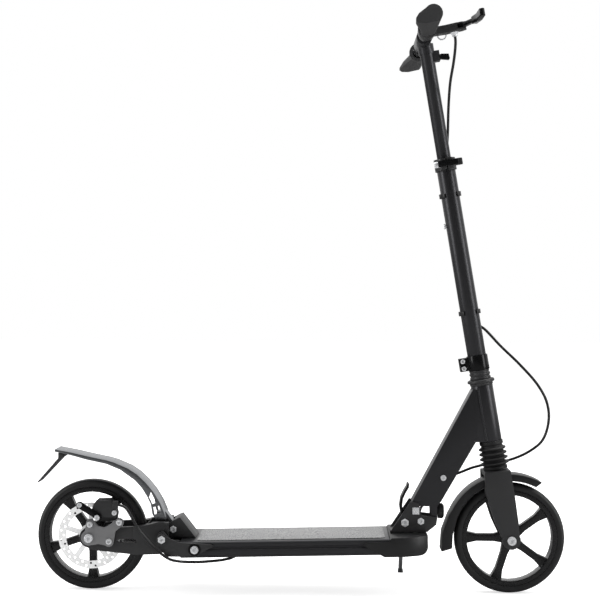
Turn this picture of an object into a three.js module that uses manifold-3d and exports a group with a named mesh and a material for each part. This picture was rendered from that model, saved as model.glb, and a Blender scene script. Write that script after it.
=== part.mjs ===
// Folding kick scooter with two large wheels, a telescopic stem and suspension.
// Millimetres, +X forwards, +Y to the rider's left, +Z up. The origin is on the ground,
// midway between the axles.
import * as THREE from 'three';
import { mergeVertices } from 'three/addons/utils/BufferGeometryUtils.js';
import Module from 'manifold-3d';

const wasm = await Module();
wasm.setup();

// Driving dimensions
const WHEEL_RADIUS = 100;
const WHEEL_WIDTH = 30;
const AXLE_X = 380;
const DECK_WIDTH = 137;
const DECK_THICKNESS = 30;
const DECK_TOP = 102.8;
const DECK_TILT = THREE.MathUtils.degToRad(1.35);
const RAKE = THREE.MathUtils.degToRad(9.72);
const STEM_FOOT_X = 376.5;
const HEAD_TUBE_RADIUS = 20;
const LOWER_TUBE_RADIUS = 17;
const UPPER_TUBE_RADIUS = 12.7;
const BAR_RADIUS = 11.1;
const BAR_HALF_WIDTH = 228;
const CABLE_RADIUS = 2.5;
const GAP = 0.3;

// Heights along the raked stem, measured from the front axle
const CROWN_TOP = 124;
const HEAD_BOTTOM = 178;
const HEAD_TOP = 281;
const STEM_CLAMP_BOTTOM = 309;
const STEM_CLAMP_TOP = 336;
const HEIGHT_CLAMP_BOTTOM = 677;
const HEIGHT_CLAMP_TOP = 699;
const BAR_HEIGHT = 918;

// Hinge points, [x, z]
const FOLD_PIVOT = [189.2, 128.4];
const SWING_PIVOT = [-245.2, 103];
const FENDER_PIVOT = [-229.6, 114.2];

const scooter = new THREE.Group();
const stem = new THREE.Group();
stem.position.set(STEM_FOOT_X, 0, WHEEL_RADIUS);
stem.rotation.y = -RAKE;
const board = new THREE.Group();
board.position.set(0, 0, DECK_TOP);
board.rotation.y = -DECK_TILT;
scooter.add(stem, board);

// Finishes
const finish = (color, roughness, metalness) => ({ color, roughness, metalness });
const BLACK_PAINT = finish(0x2b2b2c, 0.42, 0.3);
const ANODISED = finish(0x3a3a3b, 0.38, 0.7);
const STEEL = finish(0xc9cacc, 0.3, 1);
const BLACK_STEEL = finish(0x1d1d1e, 0.35, 0.8);
const SILVER_ALLOY = finish(0x9a9b9d, 0.4, 0.9);
const PLASTIC = finish(0x1c1c1d, 0.5, 0);
const RUBBER = finish(0x343435, 0.8, 0);
const URETHANE = finish(0x161617, 0.55, 0);
const GRIT = finish(0x8b8b8c, 0.95, 0);

// Solids
function closed(geometry) {
  const bare = geometry.index ? geometry.toNonIndexed() : geometry.clone();
  bare.deleteAttribute('normal');
  bare.deleteAttribute('uv');
  return mergeVertices(bare, 1e-4);
}

function solid(geometry, place = new THREE.Matrix4()) {
  const shape = closed(geometry);
  shape.applyMatrix4(place);
  const mesh = new wasm.Mesh({
    numProp: 3,
    vertProperties: new Float32Array(shape.attributes.position.array),
    triVerts: new Uint32Array(shape.index.array),
  });
  return new wasm.Manifold(mesh);
}

function surface(manifold) {
  const mesh = manifold.getMesh();
  const geometry = new THREE.BufferGeometry();
  geometry.setAttribute('position', new THREE.BufferAttribute(mesh.vertProperties, 3));
  geometry.setIndex(new THREE.BufferAttribute(mesh.triVerts, 1));
  return geometry;
}

function union(solids) {
  return solids.reduce((whole, piece) => whole.add(piece));
}

function cut(body, tools) {
  return tools.reduce((rest, tool) => rest.subtract(tool), body);
}

function add(parent, name, look, shape) {
  const geometry = shape.isBufferGeometry ? closed(shape) : surface(shape);
  const mesh = new THREE.Mesh(geometry, new THREE.MeshStandardMaterial(look));
  mesh.name = name;
  parent.add(mesh);
  return mesh;
}

// Placement of a shape whose own axis is +Z
const at = (x, y, z) => new THREE.Matrix4().makeTranslation(x, y, z);
const turned = (x, y, z, rx, ry, rz) =>
  at(x, y, z).multiply(new THREE.Matrix4().makeRotationFromEuler(new THREE.Euler(rx, ry, rz)));
const acrossY = (x, y, z) => turned(x, y, z, -Math.PI / 2, 0, 0);
const alongX = (x, y, z) => turned(x, y, z, 0, Math.PI / 2, 0);

function box(width, depth, height, place) {
  return solid(new THREE.BoxGeometry(width, depth, height), place);
}

// A turned shape from [radius, height] points, about +Z
function turn(profile, segments = 20) {
  const points = profile.map(([r, z]) => new THREE.Vector2(r, z));
  const geometry = new THREE.LatheGeometry(points, segments);
  geometry.rotateX(Math.PI / 2);
  return geometry;
}

function rod(radius, from, to, segments = 16) {
  return turn([[0, from], [radius, from], [radius, to], [0, to]], segments);
}

function sleeve(outer, inner, from, to, segments = 20) {
  return turn([[inner, from], [outer, from], [outer, to], [inner, to], [inner, from]], segments);
}

// A hexagon-headed bolt with its nut, from -half to half along +Z
function bolt(radius, half, headRadius, headHeight) {
  const shank = solid(rod(radius, -half, half, 12));
  const head = solid(rod(headRadius, -half - headHeight, -half + 0.01, 6));
  const nut = solid(rod(headRadius, half - 0.01, half + headHeight, 6));
  return union([shank, head, nut]);
}

// A flat outline of [a, b] points, wound anticlockwise so that its holes can wind clockwise
function flat(outline) {
  const points = outline.map(([a, b]) => new THREE.Vector2(a, b));
  return new THREE.Shape(THREE.ShapeUtils.isClockWise(points) ? points.reverse() : points);
}

// A side-view outline of [x, z] points, extruded across Y from near to far
function slab(outline, near, far, holes = []) {
  const shape = flat(outline);
  for (const [x, z, radius] of holes) {
    const ring = arc(x, z, radius, 0, -330, 11);
    shape.holes.push(new THREE.Path(ring.map(([a, b]) => new THREE.Vector2(a, b))));
  }
  const geometry = new THREE.ExtrudeGeometry(shape, {
    depth: far - near, bevelEnabled: false, curveSegments: 10,
  });
  geometry.rotateX(Math.PI / 2);
  geometry.translate(0, far, 0);
  return geometry;
}

// A front-view outline of [y, z] points, extruded along X from back to front
function beam(outline, back, front) {
  const shape = flat(outline);
  const geometry = new THREE.ExtrudeGeometry(shape, { depth: front - back, bevelEnabled: false });
  geometry.rotateX(Math.PI / 2);
  geometry.rotateZ(Math.PI / 2);
  geometry.translate(back, 0, 0);
  return geometry;
}

// An arc of [x, z] points about a centre, angles in degrees from +X towards +Z
function arc(cx, cz, radius, from, to, steps) {
  return Array.from({ length: steps + 1 }, (_, i) => {
    const angle = THREE.MathUtils.degToRad(from + ((to - from) * i) / steps);
    return [cx + radius * Math.cos(angle), cz + radius * Math.sin(angle)];
  });
}

// A round cable through hand-chosen points
function cable(points, radius, steps, sides = 8) {
  const route = new THREE.CatmullRomCurve3(points.map((p) => new THREE.Vector3(...p)), false, 'centripetal');
  const section = new THREE.Shape(arc(0, 0, radius, 0, 360 - 360 / sides, sides - 1)
    .map(([x, y]) => new THREE.Vector2(x, y)));
  return new THREE.ExtrudeGeometry(section, { steps, extrudePath: route, bevelEnabled: false });
}

// Wheels: a cast urethane tyre on a five-spoke core with a bearing cartridge
const TYRE_SEAT = 88;
const SPOKES = 5;
const HUB_RADIUS = 17;
const HUB_HALF = 15;
const BEARING_RADIUS = 11;
const AXLE_RADIUS = 4;
const TREAD_FLAT = 12.5;

function tyre() {
  const half = WHEEL_WIDTH / 2;
  return turn([
    [TYRE_SEAT, -half + 1], [WHEEL_RADIUS - 5, -half], [WHEEL_RADIUS, -TREAD_FLAT],
    [WHEEL_RADIUS, TREAD_FLAT], [WHEEL_RADIUS - 5, half], [TYRE_SEAT, half - 1],
    [TYRE_SEAT, -half + 1],
  ], 40);
}

function wheelCore(firstSpoke) {
  const rimOuter = TYRE_SEAT - GAP;
  const rim = solid(turn([
    [78, -13], [rimOuter, -13], [rimOuter, 13], [78, 13], [78, -13],
  ], 40));
  const spokes = Array.from({ length: SPOKES }, (_, i) => {
    const angle = THREE.MathUtils.degToRad(firstSpoke + (360 / SPOKES) * i);
    const blade = new THREE.Shape([
      new THREE.Vector2(8, -10), new THREE.Vector2(30, -6.5), new THREE.Vector2(60, -6.5),
      new THREE.Vector2(80, -11), new THREE.Vector2(80, 11), new THREE.Vector2(60, 6.5),
      new THREE.Vector2(30, 6.5), new THREE.Vector2(8, 10),
    ]);
    const geometry = new THREE.ExtrudeGeometry(blade, { depth: 16, bevelEnabled: false });
    return solid(geometry, turned(0, 0, -8, 0, 0, angle));
  });
  const hub = solid(rod(HUB_RADIUS, -HUB_HALF, HUB_HALF, 20));
  return cut(union([rim, ...spokes, hub]), [solid(rod(BEARING_RADIUS, -HUB_HALF - 1, HUB_HALF + 1, 20))]);
}

function bearingCartridge() {
  const race = BEARING_RADIUS - GAP / 2;
  const bore = AXLE_RADIUS + GAP;
  return turn([
    [bore, -HUB_HALF], [race, -HUB_HALF], [race, -HUB_HALF + 7], [7, -HUB_HALF + 7],
    [7, HUB_HALF - 7], [race, HUB_HALF - 7], [race, HUB_HALF], [bore, HUB_HALF], [bore, -HUB_HALF],
  ], 16);
}

function addWheel(end, x, firstSpoke) {
  const wheel = new THREE.Group();
  wheel.position.set(x, 0, WHEEL_RADIUS);
  wheel.rotation.x = Math.PI / 2;
  scooter.add(wheel);
  add(wheel, `${end}_tyre`, URETHANE, tyre());
  add(wheel, `${end}_wheel_core`, PLASTIC, wheelCore(firstSpoke));
  add(wheel, `${end}_bearings`, STEEL, bearingCartridge());
  return wheel;
}
addWheel('front', AXLE_X, 36);
const rearWheel = addWheel('rear', -AXLE_X, 55);

// Brake disc on the rider's right of the rear wheel, bolted to the hub
const DISC_Y = 21;
const DISC_RADIUS = 60;
const disc = cut(union([
  solid(sleeve(DISC_RADIUS, 46, DISC_Y - 1, DISC_Y + 1, 30)),
  ...Array.from({ length: SPOKES }, (_, i) =>
    box(34, 9, 2, at(32, 0, DISC_Y).premultiply(
      new THREE.Matrix4().makeRotationZ(THREE.MathUtils.degToRad(19 + 72 * i))))),
  solid(rod(22, DISC_Y - 1, DISC_Y + 1, 20)),
  solid(rod(15, HUB_HALF + GAP, DISC_Y, 16)),
]), [solid(rod(8, 0, DISC_Y + 5, 16))]);
add(rearWheel, 'brake_disc', STEEL, disc);

// Axles: a bolt with round nuts outside the fork or arms and spacers beside the hub.
// The wheel's own +Z points to the rider's right.
const FORK_INNER = 25;
const FORK_OUTER = 37;
const ARM_INNER = 33;
const ARM_OUTER = 41;
const ADAPTER_THICKNESS = 5;
function axle(leftEnd, rightEnd, inner, headRadius, leftSpacerFrom = HUB_HALF, rightSpacerFrom = HUB_HALF) {
  const nut = 6;
  return union([
    solid(rod(AXLE_RADIUS, -leftEnd - nut, rightEnd + nut, 12)),
    solid(rod(headRadius, -leftEnd - nut, -leftEnd, 12)),
    solid(rod(headRadius, rightEnd, rightEnd + nut, 12)),
    solid(rod(6.5, -inner + GAP, -leftSpacerFrom - GAP, 12)),
    solid(rod(6.5, rightSpacerFrom + GAP, inner - GAP, 12)),
  ]);
}
const frontWheelFrame = new THREE.Group();
frontWheelFrame.position.set(AXLE_X, 0, WHEEL_RADIUS);
frontWheelFrame.rotation.x = Math.PI / 2;
scooter.add(frontWheelFrame);
add(frontWheelFrame, 'front_axle', STEEL, axle(FORK_OUTER + GAP, FORK_OUTER + GAP, FORK_INNER, 8));
const adapterFace = ARM_OUTER + GAP + ADAPTER_THICKNESS + GAP;
add(rearWheel, 'rear_axle', STEEL, axle(ARM_OUTER + GAP, adapterFace, ARM_INNER, 8));

// Fork: two tapered legs under a bridge, with a stanchion that slides in the steerer
const AXLE_U = 3.5;
const AXLE_W = -0.6;
const legOutline = [
  [-24, CROWN_TOP + 2], [22, CROWN_TOP], [22.5, 84], [21, 28],
  ...arc(AXLE_U, AXLE_W, 16.5, 20, -200, 14), [-20, 34], [-29, 92],
];
const FORK_HOLE = [AXLE_U, AXLE_W, AXLE_RADIUS + GAP];
const forkTop = [[-24, 118.5], [-24, CROWN_TOP + 2], [22, CROWN_TOP], [22, 118.5]];
const fork = union([
  solid(slab(legOutline, -FORK_OUTER, -FORK_INNER, [FORK_HOLE])),
  solid(slab(legOutline, FORK_INNER, FORK_OUTER, [FORK_HOLE])),
  solid(slab(forkTop, -FORK_OUTER + 0.5, FORK_OUTER - 0.5)),
  solid(rod(10, 120, 236, 16)),
]);
add(stem, 'fork', BLACK_PAINT, fork);

// Front mudguard: an arched plastic channel bolted under the bridge
const GUARD_HALF = 22;
const guardOuter = [...arc(AXLE_X, WHEEL_RADIUS, 117, 61, 150, 16), [269, 140], [258, 110], [255.7, 76]];
const guardInner = [[275, 82], [276, 106], [284, 137], ...arc(AXLE_X, WHEEL_RADIUS, 104.5, 145, 64, 14)];
const guardRoof = [...arc(AXLE_X, WHEEL_RADIUS, 114.5, 58, 150, 16), [271.5, 139], [260.5, 110], [258, 70]];
const guardFloor = [[290, 70], ...arc(AXLE_X, WHEEL_RADIUS, 92, 180, 58, 10)];
const guard = cut(solid(slab([...guardOuter, ...guardInner], -GUARD_HALF, GUARD_HALF)), [
  solid(slab([...guardRoof, ...guardFloor], -GUARD_HALF + 2.2, GUARD_HALF - 2.2)),
]);
add(scooter, 'front_mudguard', PLASTIC, guard);

// Bellows and coil spring over the stanchion
const bellowsFins = [0, 1, 2, 3].flatMap((i) => {
  const low = 135 + i * 9;
  return [[19.5, low - 2], [26.3 - i * 0.5, low + 1], [26.3 - i * 0.5, low + 3], [19.5, low + 6]];
});
add(stem, 'fork_bellows', RUBBER, turn([
  [18, CROWN_TOP + 2.4], [22, CROWN_TOP + 2.4], [22, 131], ...bellowsFins,
  [19.5, 171], [21.5, 172], [21.5, HEAD_BOTTOM - GAP], [18, HEAD_BOTTOM - GAP], [18, CROWN_TOP + 2.4],
], 20));
add(stem, 'fork_spring', STEEL, sleeve(16, 11, CROWN_TOP + 2.4, HEAD_BOTTOM, 16));

// Head tube, its bearings and the steerer that turns in it
add(stem, 'head_tube', ANODISED, sleeve(HEAD_TUBE_RADIUS, 17, HEAD_BOTTOM, HEAD_TOP, 24));
add(stem, 'steerer', BLACK_STEEL, turn([
  [10.4, 183], [13.4, 183], [13.4, 309.4], [14.6, 310.2], [14.6, 352], [10.4, 352], [10.4, 183],
], 20));
add(stem, 'headset_cup', BLACK_STEEL, turn([
  [13.8, 270], [16.7, 270], [16.7, HEAD_TOP + GAP], [21, HEAD_TOP + GAP], [21, 285], [24.7, 286.5],
  [24.7, 290.5], [22, 292], [13.8, 292], [13.8, 270],
], 24));
add(stem, 'headset_nut', BLACK_STEEL, turn([
  [13.8, 292.3], [19, 292.3], [19, 296], [17.6, 297], [17.6, 299], [19, 300], [19, 303], [17.6, 304],
  [17.6, 306], [18.6, 307], [18.6, 308.7], [13.8, 308.7], [13.8, 292.3],
], 24));

// Down tube: a box section welded to the head tube, with two hinge ears at its foot
const NECK_HALF = 18;
const NECK_WALL = 3;
const PEDAL_PIVOT = [194, 143];
const neckOutline = [[202, 165.3], [311, 369], [325, 369], [341, 274.4], [317.1, 274.4], [254.3, 165.2]];
const earOutline = [
  [202.5, 166], [254.3, 166], [248, 157.5], [248, 138], [237, 138], [236, 157.5], [201.5, 157.5],
  [201, 136],
  ...arc(...FOLD_PIVOT, 12, -20, -200, 12), [184, 139],
];
const neckBore = [[206.5, 155], [317, 362], [345, 362], [345, 279], [316, 279], [250.5, 155]];
const headClearance = solid(rod(HEAD_TUBE_RADIUS + GAP, 150, 300, 24),
  turned(STEM_FOOT_X, 0, WHEEL_RADIUS, 0, -RAKE, 0));
const KNOB_Z = 147;
const earHoles = [[...FOLD_PIVOT, 5.4], [...PEDAL_PIVOT, 3.4]];
const CABLE_ENTRY = [281, 11, 211.5];
const downTube = cut(union([
  cut(solid(slab(neckOutline, -NECK_HALF, NECK_HALF)), [
    solid(slab(neckBore, -NECK_HALF + NECK_WALL, NECK_HALF - NECK_WALL)),
  ]),
  solid(slab(earOutline, -NECK_HALF, -NECK_HALF + 4, earHoles)),
  solid(slab(earOutline, NECK_HALF - 4, NECK_HALF, earHoles)),
  box(4, 2 * NECK_HALF - 6, 18, at(243, 0, KNOB_Z)),
]), [solid(rod(7 + GAP, 236, 250, 16), alongX(0, 0, KNOB_Z)), headClearance, solid(rod(6, -25, 25, 12), alongX(...CABLE_ENTRY))]);
add(scooter, 'down_tube', ANODISED, downTube);

// Folding hinge: a steel bracket on the deck, the fold bolt, a stop bolt, the square lock pin,
// the tension knob and the release pedal
const PLATE_INNER = 18.5;
const PLATE_OUTER = 22.5;
const STOP_BOLT = [217.9, 131.3];
const LOCK_PIN = [209, 149.5];
const LOCK_SIDE = 12;
const plateOutline = [
  [162.7, 111], [199.2, 166.2], [214, 163], [220, 141], [248, 138], [246, 125], [231, 112.5],
];
const bracketBase = [[162.7, 110.4], [231, 112], [231, 115.8], [162.7, 114.2]];
const bracketHoles = [[...FOLD_PIVOT, 5.4], [...STOP_BOLT, 3.9]];
const squareHole = box(LOCK_SIDE + 2 * GAP, 60, LOCK_SIDE + 2 * GAP, at(LOCK_PIN[0], 0, LOCK_PIN[1]));
const CABLE_DROP = [204, 8];
const dropHole = solid(rod(4.5, 60, 124, 10), at(...CABLE_DROP, 0));
add(scooter, 'hinge_bracket', BLACK_PAINT, cut(union([
  solid(slab(plateOutline, -PLATE_OUTER, -PLATE_INNER, bracketHoles)),
  solid(slab(plateOutline, PLATE_INNER, PLATE_OUTER, bracketHoles)),
  solid(slab(bracketBase, -PLATE_OUTER + 0.1, PLATE_OUTER - 0.1)),
]), [squareHole, dropHole]));
const boltAcross = (x, z, radius, half, headRadius, headHeight) =>
  surface(bolt(radius, half, headRadius, headHeight)).applyMatrix4(acrossY(x, 0, z));
add(scooter, 'fold_bolt', STEEL, boltAcross(...FOLD_PIVOT, 5, PLATE_OUTER + GAP, 7.5, 5));
add(scooter, 'fold_stop_bolt', STEEL, boltAcross(...STOP_BOLT, 3.5, PLATE_OUTER + GAP, 6.5, 4.5));
add(scooter, 'lock_pin', STEEL, box(LOCK_SIDE, 2 * PLATE_OUTER + 3, LOCK_SIDE, at(LOCK_PIN[0], 0, LOCK_PIN[1])));

const knobFlutes = Array.from({ length: 8 }, (_, i) => {
  const angle = (2 * Math.PI * i) / 8;
  return solid(rod(2.2, 249, 263, 10),
    alongX(0, 15 * Math.cos(angle), KNOB_Z + 15 * Math.sin(angle)));
});
const knobProfile = [[0, 238], [7, 238], [7, 250], [13.6, 250.5], [14, 253], [14, 258], [11, 261], [0, 261]];
add(scooter, 'fold_knob', PLASTIC, cut(solid(turn(knobProfile), alongX(0, 0, KNOB_Z)), knobFlutes));

const pedalCurve = [
  [194.5, 199], [197.5, 197], [197, 190], [191, 180], [186.5, 170], [184.8, 156], [187.5, 149],
  ...arc(...PEDAL_PIVOT, 6, 130, -100, 8), [182.5, 141], [180, 156], [182, 171], [188, 184], [193, 192],
];
add(scooter, 'fold_pedal', BLACK_STEEL, union([
  solid(slab(pedalCurve, -12, 12)),
  solid(rod(3, -NECK_HALF + 0.5, NECK_HALF - 0.5, 10), acrossY(PEDAL_PIVOT[0], 0, PEDAL_PIVOT[1])),
]));

// Stem: clamp, telescopic tubes, height clamp with its cam lever, push button and cable clips
function clampRing(outer, bottom, top, lug, slot) {
  return cut(union([
    solid(sleeve(outer, LOWER_TUBE_RADIUS + GAP, bottom, top, 24)), lug,
  ]), [slot, solid(rod(LOWER_TUBE_RADIUS + GAP, bottom - 5, top + 5, 24))]);
}
const CLAMP_BOLTS = [316, 329];
const clampMiddle = (STEM_CLAMP_BOTTOM + STEM_CLAMP_TOP) / 2;
const clampLug = box(20, 18, 24, at(-24, 0, clampMiddle));
const clampSlot = box(30, 2.4, 40, at(-27, 0, clampMiddle));
const clampHoles = CLAMP_BOLTS.map((w) => solid(rod(2.8, -12, 12, 10), acrossY(-28, 0, w)));
add(stem, 'stem_clamp', BLACK_STEEL,
  cut(clampRing(19.5, STEM_CLAMP_BOTTOM + GAP, STEM_CLAMP_TOP, clampLug, clampSlot), clampHoles));

const BUTTON_W = 577;
add(stem, 'lower_tube', ANODISED, cut(
  solid(sleeve(LOWER_TUBE_RADIUS, 15, STEM_CLAMP_BOTTOM + GAP, HEIGHT_CLAMP_TOP - 4, 24)),
  [solid(rod(4.4, -30, 0, 10), alongX(0, 0, BUTTON_W))],
));
add(stem, 'height_button', STEEL, surface(union([
  solid(rod(4, -20.5, -15.2, 10)), solid(rod(5.5, -20.5, -18.6, 10)),
])).applyMatrix4(alongX(0, 0, BUTTON_W)));

const CAM_Y = -25;
const clampW = (HEIGHT_CLAMP_BOTTOM + HEIGHT_CLAMP_TOP) / 2;
const heightLug = box(22, 16, 20, at(0, CAM_Y + 2, clampW));
const heightSlot = box(2.4, 24, 40, at(0, CAM_Y, clampW));
const skewerHole = solid(rod(2.9, -20, 20, 10), alongX(0, CAM_Y, clampW));
add(stem, 'height_clamp', BLACK_PAINT,
  cut(clampRing(19.8, HEIGHT_CLAMP_BOTTOM, HEIGHT_CLAMP_TOP, heightLug, heightSlot), [skewerHole]));
add(stem, 'height_clamp_skewer', STEEL, surface(union([
  solid(rod(2.5, -20, 14.5, 10)), solid(rod(5.5, -22, -11.3, 12)),
])).applyMatrix4(alongX(0, CAM_Y, clampW)));
const CAM_U = 22;
const leverBlade = [
  [CAM_U + 7, CAM_Y - 4], [CAM_U - 2, CAM_Y - 12], [-4, CAM_Y - 13], [-16, CAM_Y - 10],
  [-16, CAM_Y - 7.5], [-4, CAM_Y - 9], [CAM_U - 8, CAM_Y - 8.3], [CAM_U, CAM_Y],
];
const upright = (outline, low, high) =>
  new THREE.ExtrudeGeometry(flat(outline), { depth: high - low, bevelEnabled: false })
    .translate(0, 0, low);
add(stem, 'height_clamp_lever', BLACK_STEEL, union([
  solid(rod(7, clampW - 6, clampW + 6, 16), at(CAM_U, CAM_Y, 0)),
  solid(upright(leverBlade, clampW - 5.5, clampW + 5.5)),
]));

const CLIP_CABLE = [3, 23.4];
function cableClip(w) {
  return cut(union([
    solid(sleeve(20.2, LOWER_TUBE_RADIUS + GAP, w - 4, w + 4, 24)),
    solid(rod(5.6, w - 4, w + 4, 12), at(...CLIP_CABLE, 0)),
  ]), [box(24, 24, 20, at(0, -22, w)), solid(rod(LOWER_TUBE_RADIUS + GAP, w - 9, w + 9, 24)),
    solid(rod(CABLE_RADIUS + 0.8, w - 9, w + 9, 12), at(...CLIP_CABLE, 0))]);
}
const CLIPS = [415, 632];
CLIPS.forEach((w, i) => add(stem, `cable_clip_${i + 1}`, PLASTIC, cableClip(w)));

// Handlebar: upper tube with a welded socket, the crossbar, two winged grips
const BAR_U = -3;
const SOCKET_HALF = 38;
const barHole = solid(rod(BAR_RADIUS + GAP, -60, 60, 20), acrossY(BAR_U, 0, BAR_HEIGHT));
add(stem, 'upper_tube', ANODISED, cut(union([
  solid(sleeve(UPPER_TUBE_RADIUS, 11.2, 520, BAR_HEIGHT - 8, 20)),
  solid(rod(14.5, BAR_HEIGHT - 26, BAR_HEIGHT - 8, 20)),
  solid(rod(14.3, -SOCKET_HALF, SOCKET_HALF, 20), acrossY(BAR_U, 0, BAR_HEIGHT)),
  box(16, 18, 19, at(14, 0, 886)),
]), [barHole, solid(rod(2.3, -12, 12, 12), acrossY(22, 0, 884)), box(8, 8.6, 24, at(22, 0, 884))]));
add(stem, 'crossbar', STEEL, surface(solid(sleeve(BAR_RADIUS, 9.4, -222, 222, 20)))
  .applyMatrix4(acrossY(BAR_U, 0, BAR_HEIGHT)));
const latchOutline = [
  ...arc(22, 884, 4, 90, 270, 8), [38, 876], [40, 878], [39, 887], [26, 889],
];
add(stem, 'bar_latch', BLACK_STEEL, union([
  solid(slab(latchOutline, -4, 4)), solid(rod(2, -8.5, 8.5, 12), acrossY(22, 0, 884)),
]));

const GRIP_FROM = 112;
const gripOutline = [
  ...arc(0, 0, 15.5, -60, 135, 10), [-24, 4], [-30, -3], [-31, -8], [-27, -12], [-14, -14.5],
];
function grip(side) {
  const geometry = new THREE.ExtrudeGeometry(flat(gripOutline.map(([u, w]) => [u, -w])), {
    depth: BAR_HALF_WIDTH - GRIP_FROM, steps: 5, bevelEnabled: false,
  });
  const spots = geometry.attributes.position;
  for (let i = 0; i < spots.count; i += 1) {
    const t = spots.getZ(i) / (BAR_HALF_WIDTH - GRIP_FROM);
    const wing = 0.46 + 0.54 * t * t * (3 - 2 * t);
    if (spots.getX(i) < 0) spots.setX(i, spots.getX(i) * wing);
    spots.setZ(i, spots.getZ(i) + GRIP_FROM);
  }
  const body = solid(geometry, acrossY(BAR_U, 0, BAR_HEIGHT));
  const flange = solid(rod(17.5, GRIP_FROM - 5, GRIP_FROM + 0.5, 20), acrossY(BAR_U, 0, BAR_HEIGHT));
  const bore = solid(rod(BAR_RADIUS + GAP, 90, BAR_HALF_WIDTH - 4, 20), acrossY(BAR_U, 0, BAR_HEIGHT));
  const whole = cut(union([body, flange]), [bore]);
  return side > 0 ? whole : whole.mirror([0, 1, 0]);
}
add(stem, 'grip_left', RUBBER, grip(1));
add(stem, 'grip_right', RUBBER, grip(-1));

// Brake lever and its perch on the rider's right
const LEVER_PIVOT = [57, -94];
const perchBody = [[8, -76], [30, -74], [60, -82], [66, -90], [64, -102], [48, -104], [30, -98], [8, -96]];
add(stem, 'brake_perch', BLACK_PAINT, cut(union([
  solid(sleeve(15.6, BAR_RADIUS + GAP, -97, -75, 20), acrossY(BAR_U, 0, BAR_HEIGHT)),
  solid(upright(perchBody, 908, 921)),
  solid(rod(4.5, 901.5, 910, 12), at(45, -82, 0)),
]), [solid(rod(BAR_RADIUS + GAP, -120, -50, 20), acrossY(BAR_U, 0, BAR_HEIGHT)),
  solid(upright([[49, -90], [70, -86], [75, -110], [49, -112]], 911, 918.6)),
  solid(rod(3.3, 900, 930, 10), at(...LEVER_PIVOT, 0))]));
const leverPlan = [
  [52, -95], [53, -90], [58, -88.5], [62, -92], [70, -108], [80, -124], [86, -150], [87, -186],
  [83, -191], [78, -188], [77, -152], [71, -130], [60, -112],
];
add(stem, 'brake_lever', BLACK_STEEL, union([
  solid(upright(leverPlan, 911.3, 918.3)),
  solid(upright(leverPlan.slice(5, 12), 908.5, 921)),
  solid(rod(3, 909, 920, 10), at(...LEVER_PIVOT, 0)),
]));

// Deck: a hollow aluminium extrusion with grooved sides, grit tape and a moulded nose.
// The board group's own z = 0 is the top face of the extrusion.
const DECK_BACK = -214;
const DECK_FRONT = 160;
const HALF_DECK = DECK_WIDTH / 2;
const deckSide = [
  [HALF_DECK - 2, 0], [HALF_DECK, -2.5], [HALF_DECK, -9], [HALF_DECK - 2.5, -10.5],
  [HALF_DECK - 2.5, -13.5], [HALF_DECK, -15], [HALF_DECK, -20], [HALF_DECK - 3.5, -26],
  [HALF_DECK - 11, -DECK_THICKNESS],
];
const deckSection = [...deckSide, ...deckSide.map(([y, z]) => [-y, z]).reverse()];
const deckHollow = [
  [HALF_DECK - 5.5, -3], [HALF_DECK - 5.5, -21], [HALF_DECK - 12, -DECK_THICKNESS + 3],
  [-HALF_DECK + 12, -DECK_THICKNESS + 3], [-HALF_DECK + 5.5, -21], [-HALF_DECK + 5.5, -3],
];
const deckRib = box(DECK_FRONT - DECK_BACK - 2, 3, DECK_THICKNESS - 5,
  at((DECK_FRONT + DECK_BACK) / 2, 22, -DECK_THICKNESS / 2));
const cableExit = box(64, 9, 12, at(-112, -42, -DECK_THICKNESS + 1));
add(board, 'deck', ANODISED, cut(union([
  cut(solid(beam(deckSection, DECK_BACK, DECK_FRONT)), [
    solid(beam(deckHollow, DECK_BACK - 1, DECK_FRONT + 1)),
  ]), deckRib,
]), [cableExit]));

const TAPE_HALF = 57;
add(board, 'grip_tape', GRIT, upright([
  [-176, -TAPE_HALF], [146, -TAPE_HALF], [152, -TAPE_HALF + 8], [152, TAPE_HALF - 8],
  [146, TAPE_HALF], [-176, TAPE_HALF], [-184, TAPE_HALF - 8], [-184, -TAPE_HALF + 8],
], GAP, 1.3));

const NOSE_HALF = 71;
const NOSE_TOP = 2.2;
const noseSide = [
  [115, -5], [158, -4.5], [163, NOSE_TOP], [229, NOSE_TOP], [229, -18],
  ...arc(216, -18.5, 13, 0, -90, 5), [150, -31.5], [115, -12],
];
const nosePlan = [
  [100, -NOSE_HALF], [185, -NOSE_HALF], [210, -63], [229, -48], [229, 48], [210, 63],
  [185, NOSE_HALF], [100, NOSE_HALF],
];
const noseShape = solid(slab(noseSide, -NOSE_HALF, NOSE_HALF)).intersect(solid(upright(nosePlan, -40, 10)));
const deckSocket = HALF_DECK + 0.4;
const deckClearance = [
  [deckSocket, 0.4], [deckSocket, -20], [deckSocket - 3.5, -26.2], [deckSocket - 11, -DECK_THICKNESS - 0.4],
  [-deckSocket + 11, -DECK_THICKNESS - 0.4], [-deckSocket + 3.5, -26.2], [-deckSocket, -20], [-deckSocket, 0.4],
];
const KICKSTAND_X = 187;
add(board, 'deck_nose', PLASTIC, cut(noseShape, [
  solid(beam(deckClearance, 90, DECK_FRONT + GAP)),
  box(44, 118, 25, at(182, 0, -15)),
  box(20, 94, 25, at(212, 0, -15)),
  box(20, 110, 25, at(165, 0, -15)),
  solid(rod(5.5, -8, 8, 12), at(CABLE_DROP[0] - 0.5, CABLE_DROP[1], 0)),
]));

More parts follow.
